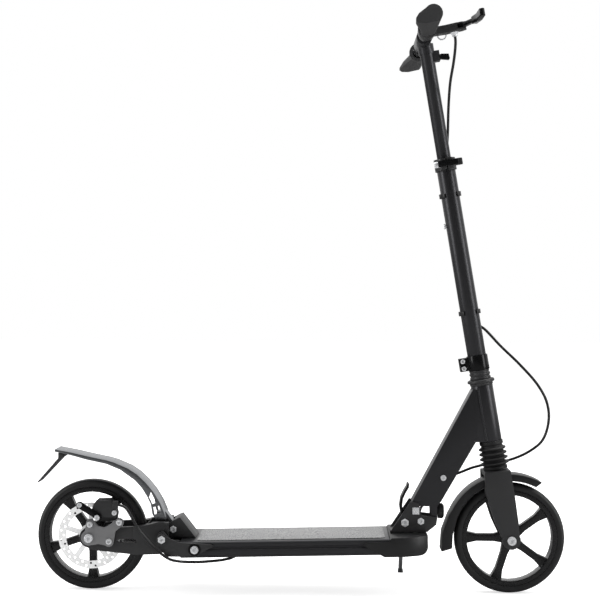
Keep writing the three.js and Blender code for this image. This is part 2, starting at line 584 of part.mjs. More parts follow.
// Kickstand: a bracket under the nose and a leg that swings back beside the deck
const KICK_PIVOT = [KICKSTAND_X, 52, 63.2];
const KICK_FOOT = [193, 165, 6];
const kickRoute = [KICK_PIVOT, [188, 74, 51.4], [191, 130, 23.6], KICK_FOOT];
const kickDirection = new THREE.Vector3(...KICK_FOOT).sub(new THREE.Vector3(...KICK_PIVOT)).normalize();
const kickStowed = new THREE.Vector3(-134, 14, -8).normalize();
const kickAxis = new THREE.Vector3().crossVectors(kickDirection, kickStowed).normalize();
const kickTurn = new THREE.Quaternion().setFromUnitVectors(new THREE.Vector3(0, 0, 1), kickAxis);
const kickHinge = new THREE.Matrix4().compose(
  new THREE.Vector3(...KICK_PIVOT), kickTurn, new THREE.Vector3(1, 1, 1));
add(scooter, 'kickstand_bracket', BLACK_STEEL, union([
  box(34, 36, 3, at(KICKSTAND_X, 36, 73.4)),
  solid(rod(7, 5.4, 9.5, 16), kickHinge),
]));
add(scooter, 'kickstand', STEEL, union([
  solid(cable(kickRoute, 4, 8, 10)),
  solid(rod(7.5, -5, 5, 16), kickHinge),
  box(10, 14, 5.5, at(KICK_FOOT[0], KICK_FOOT[1], 2.85)),
]));

// Rear bracket: side plates and a cross beam bolted to the deck, which carry the swing arm
const ARM_HALF = 45;
const plateBack = [
  [-238, 108], [-215, 98], [-158, 95], [-152.8, 92], [-175, 80], [-200, 73],
  [-236, 73], [-250, 88], ...arc(...SWING_PIVOT, 10, 200, 90, 5),
];
const pivotHole = [...SWING_PIVOT, 5.3];
const SIDE_BOLT = [-186.7, 85.6];
const rearBracket = union([
  solid(slab(plateBack, -HALF_DECK - 5, -HALF_DECK - 1, [pivotHole, [...SIDE_BOLT, 5.4]])),
  solid(slab(plateBack, HALF_DECK + 1, HALF_DECK + 5, [pivotHole, [...SIDE_BOLT, 5.4]])),
  box(16, 2 * HALF_DECK + 9, 21, at(-223.5, 0, 86)),
  ...[-1, 1].map((side) => cut(
    solid(slab([[-231, 98], [-216, 98], [-216, 76], [-231, 76], ...arc(...SWING_PIVOT, 11, 250, 90, 8)],
      side > 0 ? ARM_HALF + 1 : -ARM_HALF - 9, side > 0 ? ARM_HALF + 9 : -ARM_HALF - 1)),
    [solid(rod(5.3, -80, 80, 16), acrossY(SWING_PIVOT[0], 0, SWING_PIVOT[1]))])),
]);
add(scooter, 'rear_bracket', BLACK_PAINT, rearBracket);
add(scooter, 'swing_pivot_pin', STEEL, boltAcross(...SWING_PIVOT, 5, HALF_DECK + 5 + GAP, 7, 3));

// Rear block: a hollow wedge on the deck that holds the foot of the brake mudguard
const BLOCK_HALF = 30;
const blockOutline = [[-236.5, 99.5], [-237.3, 125.5], [-222, 134], [-217.4, 135.4], [-188.6, 98.9]];
const blockInside = [
  [-250, 95], [-250, 129], [-234, 129], [-221, 130.5], [-218, 131.5], [-194, 101.5], [-194, 95],
];
add(scooter, 'rear_block', BLACK_PAINT, cut(solid(slab(blockOutline, -BLOCK_HALF, BLOCK_HALF)), [
  solid(slab(blockInside, -BLOCK_HALF + 4, BLOCK_HALF - 4)),
  solid(rod(4.3, -50, 50, 12), acrossY(FENDER_PIVOT[0], 0, FENDER_PIVOT[1])),
]));
add(scooter, 'mudguard_pivot_bolt', STEEL, boltAcross(...FENDER_PIVOT, 4, BLOCK_HALF + GAP, 6.5, 4));

// Swing arm: a forked casting, with the axle in its ends
const armBody = [
  [-236.8, 128], [-258.9, 127.9], [-287.7, 120.8], [-300, 119.4], [-300, 69.8], [-252, 71.6],
  [-238, 80], [-236.8, 92],
];
const legSide = [
  [-296, 120], [-320.6, 118.8], [-350, 116.5], [-368, 114],
  ...arc(-AXLE_X, WHEEL_RADIUS, 18, 110, 250, 8), [-372.8, 77.2], [-298, 69.7], [-290, 70], [-290, 120],
];
const swingArm = cut(union([
  solid(slab(armBody, -ARM_HALF, ARM_HALF)),
  solid(slab(legSide, -ARM_OUTER, -ARM_INNER)),
  solid(slab(legSide, ARM_INNER, ARM_OUTER)),
]), [
  solid(rod(WHEEL_RADIUS + 6, -22, 22, 40), acrossY(-AXLE_X, 0, WHEEL_RADIUS)),
  box(80, 2 * BLOCK_HALF + 3, 80, at(-209, 0, 103)),
  box(60, 2 * BLOCK_HALF + 3, 30, at(-246, 0, 133)),
  solid(rod(5.3, -60, 60, 16), acrossY(SWING_PIVOT[0], 0, SWING_PIVOT[1])),
  solid(rod(AXLE_RADIUS + GAP, -60, 60, 12), acrossY(-AXLE_X, 0, WHEEL_RADIUS)),
]);
add(scooter, 'swing_arm', BLACK_PAINT, swingArm);
add(scooter, 'rear_spring', RUBBER, surface(solid(rod(10, -248.6, -231.8, 16)))
  .applyMatrix4(alongX(0, 0, 87)));

// Disc brake: an adapter plate, the caliper over the disc and its actuating arm
const ADAPTER_NEAR = -ARM_OUTER - GAP - ADAPTER_THICKNESS;
const ADAPTER_FAR = -ARM_OUTER - GAP;
const adapterOutline = [
  ...arc(-AXLE_X, WHEEL_RADIUS, 14, 120, 270, 8), [-362, 89], ...arc(-344, 93, 9, 225, 360, 5),
  [-332, 112], ...arc(-325, 128, 8, -60, 110, 6), [-340, 126], [-352, 119], [-364, 122],
  ...arc(-377, 126, 8, 60, 190, 6),
];
add(scooter, 'brake_adapter', ANODISED, slab(adapterOutline, ADAPTER_NEAR, ADAPTER_FAR,
  [[-AXLE_X, WHEEL_RADIUS, AXLE_RADIUS + GAP]]));
const CALIPER_PIVOT = [-363.6, 138.2];
const caliperOutline = [
  [-376, 146], [-372, 160], [-366, 168], [-342, 168.5], [-336, 160], [-330, 143], [-332, 130.5],
  [-346, 126.5], [-360, 127.5], ...arc(...CALIPER_PIVOT, 9, 250, 150, 5),
];
const caliperSlot = box(120, 4.6, 82, at(-360, -DISC_Y, 121));
add(scooter, 'brake_caliper', BLACK_PAINT, cut(union([
  solid(slab(caliperOutline, -ARM_OUTER - 7, -16.5)),
  box(9, 8, 14, at(-332, -46, 160)),
]), [caliperSlot, box(130, 20, 60, at(-370, -ARM_OUTER + 0.4, 106)),
  box(60, 10, 33, at(-330, -ARM_OUTER - 4.4, 121)), box(80, 10, 30, at(-378, -ARM_OUTER - 4.4, 119))]));
const armOutline = [
  ...arc(...CALIPER_PIVOT, 8, -70, 60, 6), [-372, 152], ...arc(-395.6, 160.1, 6, 60, 240, 8), [-376, 141],
];
add(scooter, 'caliper_arm', STEEL, union([
  solid(slab(armOutline, -ARM_OUTER - 12, -ARM_OUTER - 8)),
  solid(rod(5, -ARM_OUTER - 15, -ARM_OUTER - 7.4, 16), acrossY(CALIPER_PIVOT[0], 0, CALIPER_PIVOT[1])),
]));

// Brake mudguard over the rear wheel: an aluminium channel with windows in its flanges,
// hinged in the rear block, and a flexible flap at its tail
const MUDGUARD_HALF = 28;
const MUDGUARD_PLATE = 2.5;
const rearOuter = [
  [-446, 256.5], [-416, 251], [-382, 243.5], [-352, 237.5], [-338, 233.5], [-312, 222.5], [-296, 212],
  [-280, 197], [-266, 180], [-254, 160.5], [-246.5, 143], [-243, 131.5],
];
const rearInner = [
  [-262.5, 131.5], [-268, 141], [-271, 159], [-278, 173.3], [-287.5, 188.3], [-300.2, 201.9],
  [-326.3, 220.5], [-352, 231], [-388, 238.5], [-416, 246], [-446, 252.5],
];
const inward = rearOuter.map(([x, z], i) => {
  const [ax, az] = rearOuter[Math.max(i - 1, 0)];
  const [bx, bz] = rearOuter[Math.min(i + 1, rearOuter.length - 1)];
  const length = Math.hypot(bx - ax, bz - az);
  const plate = MUDGUARD_PLATE;
  return [x + ((bz - az) / length) * plate, z - ((bx - ax) / length) * plate];
});
const underside = [[-452, 254.8], ...inward.slice(0, -1), [-246.5, 120], [-300, 120], [-400, 225], [-452, 240]];
const windows = [
  [[-271, 181], [-265, 173], [-258.5, 163], [-268, 158.5], [-274, 171]],
  [[-256, 156], [-250.5, 143], [-264, 140], [-266.5, 153]],
];
const lugOutline = [
  [-262, 143], [-263, 135], [-250, 133], [-239.5, 116], ...arc(...FENDER_PIVOT, 9, 190, 400, 10),
  [-231, 124], [-244, 141], [-245.5, 143],
];
const mudguard = cut(union([
  cut(solid(slab([...rearOuter, ...rearInner], -MUDGUARD_HALF, MUDGUARD_HALF)), [
    solid(slab(underside, -MUDGUARD_HALF + 2.5, MUDGUARD_HALF - 2.5)),
    ...windows.map((outline) => solid(slab(outline, -40, 40))),
  ]),
  solid(slab(lugOutline, -13, 13)),
  solid(slab([[-262, 134], [-262, 140], [-248, 143], [-248, 134]], -27, 27)),
]), [solid(rod(4.3, -50, 50, 12), acrossY(FENDER_PIVOT[0], 0, FENDER_PIVOT[1]))]);
add(scooter, 'rear_mudguard', SILVER_ALLOY, mudguard);
add(scooter, 'mud_flap', RUBBER, slab([
  [-441, 249.5], [-430, 247], [-430, 242.5], [-437, 238], [-477, 195], [-478.6, 196.5], [-441, 240],
], -22, 22));

// Brake cable: from the lever down the stem, round to the down tube, through it and the deck,
// and back to the caliper
const BARREL = [45, -82, 900.6];
add(stem, 'brake_cable_bar', PLASTIC, cable([
  BARREL, [44.6, -81, 893], [42.5, -74, 880], [38, -58, 860], [30, -28, 830], [23, 0, 790], [16, 18, 745], [9, 23.4, 712],
  [4, 23.4, 690], [3, 23.4, 660],
], CABLE_RADIUS, 20));
const toWorld = (u, y, w) => [
  STEM_FOOT_X + u * Math.cos(RAKE) - w * Math.sin(RAKE), y,
  WHEEL_RADIUS + u * Math.sin(RAKE) + w * Math.cos(RAKE),
];
add(scooter, 'brake_cable_loop', PLASTIC, cable([
  toWorld(3, 23.4, 659.7), toWorld(3, 23.4, 632), toWorld(3, 23.4, 500), toWorld(3, 23.4, 410),
  toWorld(4.5, 23.4, 398), [336, 25, 479], [366, 25, 448], [402, 20, 413], [433, 12, 377],
  [449, 8, 346], [453, 9, 313], [443, 14, 276], [420, 22, 254], [388, 30, 238], [354, 32, 231],
  [318, 28, 223], [297, 18, 216.5], [287, 12.1, 213.5],
], CABLE_RADIUS, 44));
add(scooter, 'brake_cable_neck', PLASTIC, cable([
  [285.9, 11.7, 212.9], [276, 10.5, 210.5], [262, 10, 202], [246, 10, 176], [231, 10.7, 162], [221.5, 10.7, 152],
  [218.8, 10.7, 145], [215.4, 10.6, 139.8], [208.5, 9.5, 138], [204.4, 8.3, 134.4], [204, 8, 131.2],
], CABLE_RADIUS, 22));
add(scooter, 'brake_cable_deck', PLASTIC, cable([
  [204, 8, 130.4], [204, 8, 112], [203, 8, 104], [196, 6, 96], [176, 2, 91], [150, 0, 90], [60, -14, 87],
  [-30, -28, 84], [-80, -38, 79], [-104, -42, 74], [-128, -44.5, 64.5], [-150, -53, 62.6],
  [-186, -66, 62.4], [-212, -73, 64.5],
], CABLE_RADIUS, 30));
add(scooter, 'brake_cable_rear', PLASTIC, cable([
  [-212.6, -73.2, 64.65], [-228, -77, 68.5], [-243, -79.5, 78], [-258, -78, 90], [-272, -72, 103.5],
  [-290, -62, 122], [-302, -56, 141], [-314, -50, 156], [-325.9, -46, 160],
], CABLE_RADIUS, 18));

export default scooter;
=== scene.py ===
import math

import bmesh
import bpy
from mathutils import Matrix, Vector


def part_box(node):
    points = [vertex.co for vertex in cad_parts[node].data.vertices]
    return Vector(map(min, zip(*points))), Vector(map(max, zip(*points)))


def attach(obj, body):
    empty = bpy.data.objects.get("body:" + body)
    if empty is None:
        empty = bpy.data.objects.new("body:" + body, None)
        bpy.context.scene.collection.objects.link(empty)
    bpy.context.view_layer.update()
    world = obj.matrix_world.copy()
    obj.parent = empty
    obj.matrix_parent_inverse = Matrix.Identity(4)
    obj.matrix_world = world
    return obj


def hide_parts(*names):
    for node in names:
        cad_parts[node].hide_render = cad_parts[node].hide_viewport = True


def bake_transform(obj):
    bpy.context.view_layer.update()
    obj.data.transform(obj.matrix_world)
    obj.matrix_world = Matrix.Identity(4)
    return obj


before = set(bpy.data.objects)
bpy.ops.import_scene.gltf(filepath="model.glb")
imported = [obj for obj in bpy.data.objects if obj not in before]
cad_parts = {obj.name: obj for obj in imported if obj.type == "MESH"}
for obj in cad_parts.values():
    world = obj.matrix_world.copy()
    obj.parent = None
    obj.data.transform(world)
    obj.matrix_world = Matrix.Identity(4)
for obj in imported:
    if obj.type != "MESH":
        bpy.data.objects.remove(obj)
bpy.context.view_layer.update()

# Camera and studio. A long lens stands level with the middle of the scooter, on its right-hand side.
# One soft box hangs overhead and two tall strips stand left and right, so round tubes show two pale
# lines; the floor is matt white paper.
CAMERA_DISTANCE = 2.35
LENS_MM = 77.1
CAMERA_TARGET = Vector((-0.0032, 0.0, 0.53))
CAMERA_YAW = math.radians(1.0)
CAMERA_ROLL = math.radians(0.33)
camera_data = bpy.data.cameras.new("studio_camera")
camera_data.sensor_width = 36.0
camera_data.lens = LENS_MM
camera = bpy.data.objects.new("studio_camera", camera_data)
bpy.context.scene.collection.objects.link(camera)
camera.matrix_world = (
    Matrix.Translation(
        CAMERA_TARGET
        + CAMERA_DISTANCE * Vector((math.sin(CAMERA_YAW), -math.cos(CAMERA_YAW), 0.0))
    )
    @ Matrix.Rotation(CAMERA_YAW, 4, "Z")
    @ Matrix.Rotation(math.radians(90), 4, "X")
    @ Matrix.Rotation(CAMERA_ROLL, 4, "Z")
)
bpy.context.scene.camera = camera
bpy.context.scene.view_settings.view_transform = "Standard"


def soft_box(name, place, size, watts):
    """A rectangular studio lamp that faces the middle of the scooter."""
    lamp = bpy.data.lights.new(name, "AREA")
    lamp.shape = "RECTANGLE"
    lamp.size, lamp.size_y = size
    lamp.energy = watts
    holder = bpy.data.objects.new(name, lamp)
    bpy.context.scene.collection.objects.link(holder)
    holder.location = place
    aim = Vector((0.0, 0.0, 0.5)) - Vector(place)
    holder.rotation_euler = aim.to_track_quat("-Z", "Y").to_euler()


soft_box("overhead_box", (0.0, 0.1, 3.0), (3.0, 2.2), 70)
soft_box("left_strip", (-2.3, -1.0, 1.1), (0.7, 2.2), 26)
soft_box("right_strip", (2.3, -1.0, 1.1), (0.7, 2.2), 26)


def linear(code):
    """sRGB hex text as a linear RGBA colour."""
    parts = [int(code[i:i + 2], 16) / 255 for i in (1, 3, 5)]
    return tuple(v / 12.92 if v <= 0.04045 else ((v + 0.055) / 1.055) ** 2.4 for v in parts) + (1.0,)


def put(tree, kind, links=None, values=None, **settings):
    """Adds one node: its settings, its constant inputs, then links from (node, output) pairs."""
    made = tree.nodes.new(kind)
    for key, value in settings.items():
        setattr(made, key, value)
    for key, value in (values or {}).items():
        made.inputs[key].default_value = value
    for key, (source, output) in (links or {}).items():
        tree.links.new(source.outputs[output], made.inputs[key])
    return made


world = bpy.data.worlds.new("studio_world")
bpy.context.scene.world = world
world.use_nodes = True
sky = world.node_tree
sky.nodes.clear()
where = put(sky, "ShaderNodeTexCoord")
apart = put(sky, "ShaderNodeSeparateXYZ", {"Vector": (where, "Generated")})
depth = put(
    sky, "ShaderNodeMapRange", {"Value": (apart, "Y")},
    {"From Min": -0.5, "From Max": 0.6, "To Min": 0.07, "To Max": 0.95},
)
rays = put(sky, "ShaderNodeLightPath")
wall = put(sky, "ShaderNodeBackground", {"Strength": (depth, "Result")})
paper = put(sky, "ShaderNodeBackground", None, {"Strength": 1.0})
pick = put(sky, "ShaderNodeMixShader", {"Fac": (rays, "Is Camera Ray")})
sky.links.new(wall.outputs[0], pick.inputs[1])
sky.links.new(paper.outputs[0], pick.inputs[2])
wall.inputs["Color"].default_value = (1, 1, 1, 1)
paper.inputs["Color"].default_value = (1, 1, 1, 1)
put(sky, "ShaderNodeOutputWorld", {"Surface": (pick, "Shader")})

floor_mesh = bmesh.new()
bmesh.ops.create_grid(floor_mesh, x_segments=1, y_segments=1, size=14.0)
floor_data = bpy.data.meshes.new("floor")
floor_mesh.to_mesh(floor_data)
floor_mesh.free()
floor = bpy.data.objects.new("floor", floor_data)
bpy.context.scene.collection.objects.link(floor)
floor.location.z = -0.0005


def finish(name, colour, metallic, roughness, **sockets):
    """A new material with one Principled shader; returns it with its tree and shader."""
    material = bpy.data.materials.new(name)
    material.use_nodes = True
    tree = material.node_tree
    shader = tree.nodes["Principled BSDF"]
    shader.inputs["Base Color"].default_value = linear(colour)
    shader.inputs["Metallic"].default_value = metallic
    shader.inputs["Roughness"].default_value = roughness
    for key, value in sockets.items():
        shader.inputs[key.replace("_", " ")].default_value = value
    return material, tree, shader


def grain(tree, shader, millimetres, depth, rough, stretch=(1, 1, 1), detail=3.0):
    """Surface noise in Object coordinates: its grain size, bump height in mm and roughness range."""
    spot = put(tree, "ShaderNodeTexCoord")
    size = put(tree, "ShaderNodeMapping", {"Vector": (spot, "Object")}, {"Scale": stretch})
    noise = put(
        tree, "ShaderNodeTexNoise", {"Vector": (size, "Vector")},
        {"Scale": 1000.0 / millimetres, "Detail": detail, "Roughness": 0.55},
    )
    spread = put(
        tree, "ShaderNodeMapRange", {"Value": (noise, "Fac")},
        {"From Min": 0.3, "From Max": 0.7, "To Min": rough[0], "To Max": rough[1]},
    )
    tree.links.new(spread.outputs["Result"], shader.inputs["Roughness"])
    bump = put(
        tree, "ShaderNodeBump", {"Height": (noise, "Fac")},
        {"Strength": 0.6, "Distance": depth / 1000.0},
    )
    tree.links.new(bump.outputs["Normal"], shader.inputs["Normal"])
    return noise


# Matt paper backdrop: fine pulp grain, no shine. In reflections alone it turns from white to a painted
# grey shade, so that the scooter's shiny upright faces keep their dark tone
paper_white, paper_tree, paper_shader = finish(
    "matt_paper", "#fbfbfb", 0.0, 0.95, Specular_IOR_Level=0.0,
    Emission_Color=(1, 1, 1, 1), Emission_Strength=0.62)
grain(paper_tree, paper_shader, 3.0, 0.02, (0.9, 1.0))
# painted shade: a 0.28 grey diffuse that glossy rays see in place of the white paper
reflected_floor_shade = put(paper_tree, "ShaderNodeBsdfDiffuse", None, {"Color": (0.28, 0.28, 0.28, 1.0)})
path = put(paper_tree, "ShaderNodeLightPath")
either = put(paper_tree, "ShaderNodeMixShader", {"Fac": (path, "Is Glossy Ray")})
paper_tree.links.new(paper_shader.outputs[0], either.inputs[1])
paper_tree.links.new(reflected_floor_shade.outputs[0], either.inputs[2])
paper_tree.links.new(either.outputs[0], paper_tree.nodes["Material Output"].inputs["Surface"])
floor_data.materials.append(paper_white)

# Head tube, stem tubes, neck and deck are extruded aluminium, blasted and anodised black: an even
# satin charcoal with a very fine draw grain that softens the reflections
anodised, tree, shader = finish("anodised_aluminium_black", "#3b3b3d", 0.75, 0.32)
grain(tree, shader, 0.9, 0.012, (0.3, 0.4), (1, 1, 0.25))

MM = 0.001


def merged_copy(name):
    """A welded copy of a CAD node, ready to be finished in bmesh."""
    shape = bmesh.new()
    shape.from_mesh(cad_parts[name].data)
    bmesh.ops.remove_doubles(shape, verts=shape.verts, dist=1e-6)
    bmesh.ops.dissolve_limit(
        shape, angle_limit=math.radians(1.0), verts=shape.verts, edges=shape.edges)
    return shape


def place(shape, name, body, material, replaced=(), smooth=32):
    """Puts a finished bmesh in the scene as one piece that rides on a CAD body."""
    bmesh.ops.recalc_face_normals(shape, faces=shape.faces)
    data = bpy.data.meshes.new(name)
    shape.to_mesh(data)
    shape.free()
    piece = bpy.data.objects.new(name, data)
    bpy.context.scene.collection.objects.link(piece)
    data.materials.append(material)
    data.shade_smooth()
    data.set_sharp_from_angle(angle=math.radians(smooth))
    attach(piece, body)
    if replaced:
        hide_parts(*replaced)


def carve(shape, cutters):
    """Cuts drilled holes and slots into a shape, given as closed cutter meshes."""
    data = bpy.data.meshes.new("blank")
    shape.to_mesh(data)
    blank = bpy.data.objects.new("blank", data)
    tool_mesh = bpy.data.meshes.new("tool")
    cutters.to_mesh(tool_mesh)
    tool = bpy.data.objects.new("tool", tool_mesh)
    for thing in (blank, tool):
        bpy.context.scene.collection.objects.link(thing)
    step = blank.modifiers.new("cut", "BOOLEAN")
    step.object = tool
    step.operation = "DIFFERENCE"
    step.solver = "EXACT"
    bpy.context.view_layer.update()
    result = blank.evaluated_get(bpy.context.evaluated_depsgraph_get()).to_mesh()
    made = bmesh.new()
    made.from_mesh(result)
    for thing in (blank, tool):
        bpy.data.objects.remove(thing)
    shape.free()
    cutters.free()
    return made


def cylinder(shape, centre, direction, radius, length, segments):
    """Adds a closed cylinder, centred on a point in metres, its sizes in mm."""
    turn = Vector((0, 0, 1)).rotation_difference(Vector(direction)).to_matrix().to_4x4()
    bmesh.ops.create_cone(
        shape, cap_ends=True, segments=segments, radius1=radius * MM, radius2=radius * MM,
        depth=length * MM, matrix=Matrix.Translation(centre) @ turn)


SHARP_EDGE = math.radians(28)


def eased(name, body, material, edge, smooth=32, segments=2, cutters=None):
    """The CAD node's shape with its sharp edges rounded, as a tumbled or cast piece has them."""
    shape = merged_copy(name)
    if cutters:
        shape = carve(shape, cutters)
    sharp = [
        e for e in shape.edges
        if len(e.link_faces) == 2 and e.calc_face_angle(0.0) > SHARP_EDGE
    ]
    bmesh.ops.bevel(
        shape, geom=sharp, offset=edge * MM, offset_type="OFFSET", segments=segments,
        profile=0.5, affect="EDGES", clamp_overlap=True, material=-1)
    bmesh.ops.triangulate(shape, faces=[f for f in shape.faces if len(f.verts) > 4])
    place(shape, "fine_" + name, body, material, (name,), smooth)


eased("down_tube", "neck", anodised, 1.6, segments=3)
eased("head_tube", "neck", anodised, 0.6)
eased("lower_tube", "stem", anodised, 0.6)
eased("upper_tube", "handlebar", anodised, 0.8)
eased("deck", "deck", anodised, 0.7)

# Castings and pressed brackets are aluminium and steel under black powder coat: a little rougher
# than the tubes, with a faint orange peel
powder, tree, shader = finish("powder_coated_alloy_black", "#262627", 0.0, 0.4, Specular_IOR_Level=0.5)
grain(tree, shader, 1.6, 0.03, (0.36, 0.5))
for name, body, edge in [
    ("hinge_bracket", "deck", 0.7), ("rear_bracket", "deck", 0.7), ("rear_block", "deck", 1.2),
    ("fork", "fork", 1.4), ("height_clamp", "stem", 0.6),
    ("headset_cup", "neck", 0.5), ("headset_nut", "stem", 0.4), ("brake_perch", "handlebar", 0.8),
    ("brake_caliper", "rear_arm", 0.8),
]:
    eased(name, body, powder, edge)

# The swing arm's right leg has a slot milled through it beside the adapter, to save weight
SLOT_CENTRE = (-0.312, -0.037, 0.0945)
SLOT_SIZE = (0.034, 0.02, 0.0055, 1.0)
slot_cut = bmesh.new()
bmesh.ops.create_cube(
    slot_cut, size=1.0, matrix=Matrix.Translation(SLOT_CENTRE) @ Matrix.Diagonal(SLOT_SIZE))
eased("swing_arm", "rear_arm", powder, 1.4, cutters=slot_cut)

# The adapter plate is cast alloy with a paler grey coat
grey_coat, tree, shader = finish("powder_coated_alloy_grey", "#686869", 0.1, 0.4)
grain(tree, shader, 1.6, 0.03, (0.34, 0.48))
eased("brake_adapter", "rear_arm", grey_coat, 0.7)

# Clamps, levers and pedals are steel with a black gloss plating: smooth, so they pick up a hard shine
gloss, tree, shader = finish("black_plated_steel", "#161617", 0.6, 0.2)
grain(tree, shader, 2.5, 0.01, (0.16, 0.26))
for name, body, edge in [
    ("stem_clamp", "stem", 0.8), ("kickstand_bracket", "deck", 0.5), ("fold_pedal", "pedal", 0.5),
    ("brake_lever", "hand_lever", 1.0), ("height_clamp_lever", "clamp_lever", 0.8),
    ("bar_latch", "latch", 0.6), ("steerer", "stem", 0.3),
]:
    eased(name, body, gloss, edge)

# Fasteners and axles are zinc-plated steel: pale, fairly bright, with a light haze from the plating
zinc, tree, shader = finish("zinc_plated_steel", "#dcdddf", 0.55, 0.28)
grain(tree, shader, 1.2, 0.01, (0.22, 0.36))
for name, body, edge in [
    ("lock_pin", "deck", 0.6), ("height_button", "button", 0.3), ("height_clamp_skewer", "stem", 0.4),
    ("fork_spring", "fork", 0.5), ("front_bearings", "front_wheel", 0.3),
    ("rear_bearings", "rear_wheel", 0.3),
]:
    eased(name, body, zinc, edge)

# The caliper's arm is black plated, like the levers
eased("caliper_arm", "caliper_lever", gloss, 0.6)

# Hinge bolts and axles have round heads with a hexagon socket at each end
SOCKET_DEPTH = 5
for name, body, across in [
    ("fold_bolt", "deck", 3.2), ("fold_stop_bolt", "deck", 2.8), ("swing_pivot_pin", "deck", 3.0),
    ("mudguard_pivot_bolt", "deck", 2.8), ("rear_axle", "rear_arm", 3.2), ("front_axle", "fork", 3.2),
]:
    low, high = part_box(name)
    sockets = bmesh.new()
    for y in (low[1], high[1]):
        cylinder(sockets, ((low[0] + high[0]) / 2, y, (low[2] + high[2]) / 2), (0, 1, 0), across,
                 SOCKET_DEPTH, 6)
    eased(name, body, zinc, 0.7, cutters=sockets)

# The kickstand is bare drawn steel, greyer than the plated bolts
drawn, tree, shader = finish("drawn_steel", "#6d6e70", 1.0, 0.38)
grain(tree, shader, 1.0, 0.02, (0.32, 0.46))
eased("kickstand", "stand", drawn, 0.8)

# Small fasteners: cap screws with a hexagon socket, sitting on the faces that they clamp
RAKE = math.radians(9.72)


def on_stem(u, y, w):
    """A point given along the raked stem, from the front axle's height, in mm."""
    return Vector((
        376.5 + u * math.cos(RAKE) - w * math.sin(RAKE), y,
        100 + u * math.sin(RAKE) + w * math.cos(RAKE))) * MM


def cap_screw(name, body, seat, direction, radius, height, material):
    """A screw head whose seat is at a point in metres; its sizes in mm."""
    out = Vector(direction).normalized()
    head = bmesh.new()
    cylinder(head, seat + out * (height / 2) * MM, out, radius, height, 32)
    rims = [e for e in head.edges if len(e.link_faces) == 2 and e.calc_face_angle(0.0) > 1.0]
    bmesh.ops.bevel(
        head, geom=rims, offset=min(0.22 * height, 0.8) * MM, offset_type="OFFSET", segments=2,
        profile=0.5, affect="EDGES", clamp_overlap=True, material=-1)
    key = bmesh.new()
    cylinder(key, seat + out * height * MM, out, radius * 0.5, height * 1.1, 6)
    place(carve(head, key), name, body, material)


STEM_UP = (on_stem(0, 0, 1) - on_stem(0, 0, 0)).normalized()
RIGHT = (0, -1, 0)
LEFT = (0, 1, 0)
for name, body, seat, direction, radius, height in [
    ("stem_clamp_screw_low", "stem", on_stem(-28, -9, 316), RIGHT, 4.2, 3.4),
    ("stem_clamp_screw_high", "stem", on_stem(-28, -9, 329), RIGHT, 4.2, 3.4),
    ("stem_clamp_nut_low", "stem", on_stem(-28, 9, 316), LEFT, 4.0, 3.0),
    ("stem_clamp_nut_high", "stem", on_stem(-28, 9, 329), LEFT, 4.0, 3.0),
    ("neck_screw_right", "neck", Vector((258.7, -18, 209.4)) * MM, RIGHT, 5.2, 2.4),
    ("neck_screw_left", "neck", Vector((258.7, 18, 209.4)) * MM, LEFT, 5.2, 2.4),
    ("adapter_screw_top", "rear_arm", Vector((-378, -46.3, 124.5)) * MM, RIGHT, 5.4, 3.6),
    ("adapter_screw_front", "rear_arm", Vector((-325, -46.3, 128.6)) * MM, RIGHT, 5.6, 3.6),
    ("adapter_screw_low", "rear_arm", Vector((-343.4, -46.3, 94)) * MM, RIGHT, 5.4, 3.6),
    ("caliper_pivot_screw", "caliper_lever", Vector((-363.6, -56, 138.2)) * MM, RIGHT, 5.0, 2.4),
    ("cable_anchor_screw", "caliper_lever", Vector((-395.6, -53, 160.1)) * MM, RIGHT, 4.4, 3.0),
    ("caliper_body_screw", "rear_arm", Vector((-333.5, -48, 146)) * MM, RIGHT, 4.6, 3.4),
    ("lever_pivot_screw", "handlebar", on_stem(57, -94, 921), STEM_UP, 4.2, 1.6),
]:
    cap_screw(name, body, seat, direction, radius, height, zinc)
for side, out in ((-1, RIGHT), (1, LEFT)):
    end = "left" if side > 0 else "right"
    seat = Vector((-186.7, side * 73.5, 85.6)) * MM
    cap_screw("side_plate_washer_" + end, "deck", seat, out, 11.0, 1.4, gloss)
    cap_screw("side_plate_screw_" + end, "deck", seat, out, 7.0, 4.0, zinc)

# The neck is welded to the head tube on both sides: two ridged beads, blacked with the tube
BEAD_STEPS = 34
BEAD_RADIUS = 2.4
BEAD_FOOT, BEAD_TOP = 182, 277
for side in (-1, 1):
    bead = bmesh.new()
    for i in range(BEAD_STEPS):
        w = BEAD_FOOT + (BEAD_TOP - BEAD_FOOT) * i / (BEAD_STEPS - 1)
        bmesh.ops.create_icosphere(
            bead, subdivisions=2, radius=BEAD_RADIUS * MM,
            matrix=Matrix.Translation(on_stem(-9.2, side * 17.6, w)))
    place(bead, "neck_weld_" + ("left" if side > 0 else "right"), "neck", anodised, smooth=60)

# Tyres are cast polyurethane on nylon wheels: the tread is a rounded band that meets the rim at a
# thin step. The rubbery plastic is satin, and a moulding line runs round the middle of the tread
urethane, tree, shader = finish("cast_polyurethane_black", "#171718", 0.0, 0.42)
grain(tree, shader, 2.0, 0.02, (0.38, 0.55))
AXLES = {"front": Vector((0.38, 0.0, 0.1)), "rear": Vector((-0.38, 0.0, 0.1))}
TYRE_SECTION = [
    (87.2, -13.6), (89.5, -14.4), (92.0, -14.8), (94.5, -14.6), (96.8, -13.0), (98.6, -10.4),
    (99.6, -7.2), (99.9, -3.6), (100.0, -0.5), (99.7, 0.0), (100.0, 0.5), (99.9, 3.6), (99.6, 7.2),
    (98.6, 10.4), (96.8, 13.0), (94.5, 14.6), (92.0, 14.8), (89.5, 14.4), (87.2, 13.6),
]


